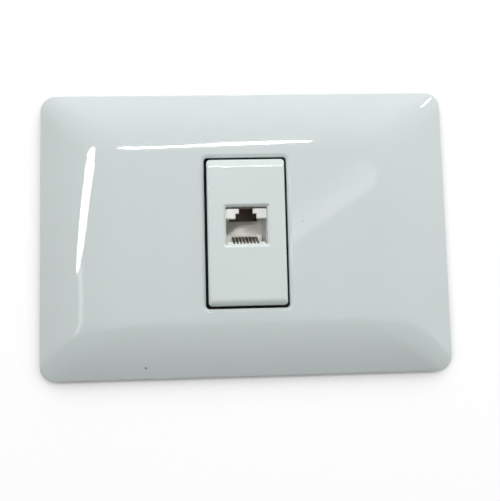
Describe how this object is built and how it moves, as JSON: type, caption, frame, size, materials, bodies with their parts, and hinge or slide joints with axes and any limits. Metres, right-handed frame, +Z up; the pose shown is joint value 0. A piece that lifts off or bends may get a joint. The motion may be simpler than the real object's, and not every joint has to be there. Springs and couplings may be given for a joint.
{
  "type": "ethernet wall socket",
  "caption": "Flush wall socket for a network plug: pillow-shaped cover plate, upright module with a latch keyway and spring contacts, and a box frame.",
  "frame": {"origin": "on the wall's surface, midway between the two screw slots, behind the middle of the cover plate", "axes": "+X to the right and +Z up as the socket hangs on the wall, -Y out of the wall towards the room"},
  "size_m": [0.122, 0.0317, 0.0844],
  "materials": {
    "plate_plastic": "glossy cool-white moulded plastic",
    "module_plastic": "white moulded plastic, slightly less glossy than the plate",
    "frame_plastic": "black fine-grained plastic",
    "socket_plastic": "off-white glass-filled plastic",
    "contact_gold": "gold-plated phosphor bronze",
    "board_laminate": "brown paper-core laminate under a clear lacquer",
    "terminal_plastic": "light grey plastic",
    "blade_tin": "tinned bronze",
    "cap_plastic": "milky plastic"
  },
  "bodies": {
    "root": {"circuit_board": "board_laminate", "contact_1": "contact_gold", "contact_2": "contact_gold", "contact_3": "contact_gold", "contact_4": "contact_gold", "contact_5": "contact_gold", "contact_6": "contact_gold", "contact_7": "contact_gold", "contact_8": "contact_gold", "contact_carrier": "socket_plastic", "cover_plate": "plate_plastic", "idc_blade_lower_1": "blade_tin", "idc_blade_lower_2": "blade_tin", "idc_blade_lower_3": "blade_tin", "idc_blade_lower_4": "blade_tin", "idc_blade_upper_1": "blade_tin", "idc_blade_upper_2": "blade_tin", "idc_blade_upper_3": "blade_tin", "idc_blade_upper_4": "blade_tin", "idc_block_lower": "terminal_plastic", "idc_block_upper": "terminal_plastic", "jack_housing": "socket_plastic", "module_housing": "module_plastic", "mounting_frame": "frame_plastic", "rear_retainer": "module_plastic", "wire_cap_lower": "cap_plastic", "wire_cap_upper": "cap_plastic"}
  },
  "joints": []
}
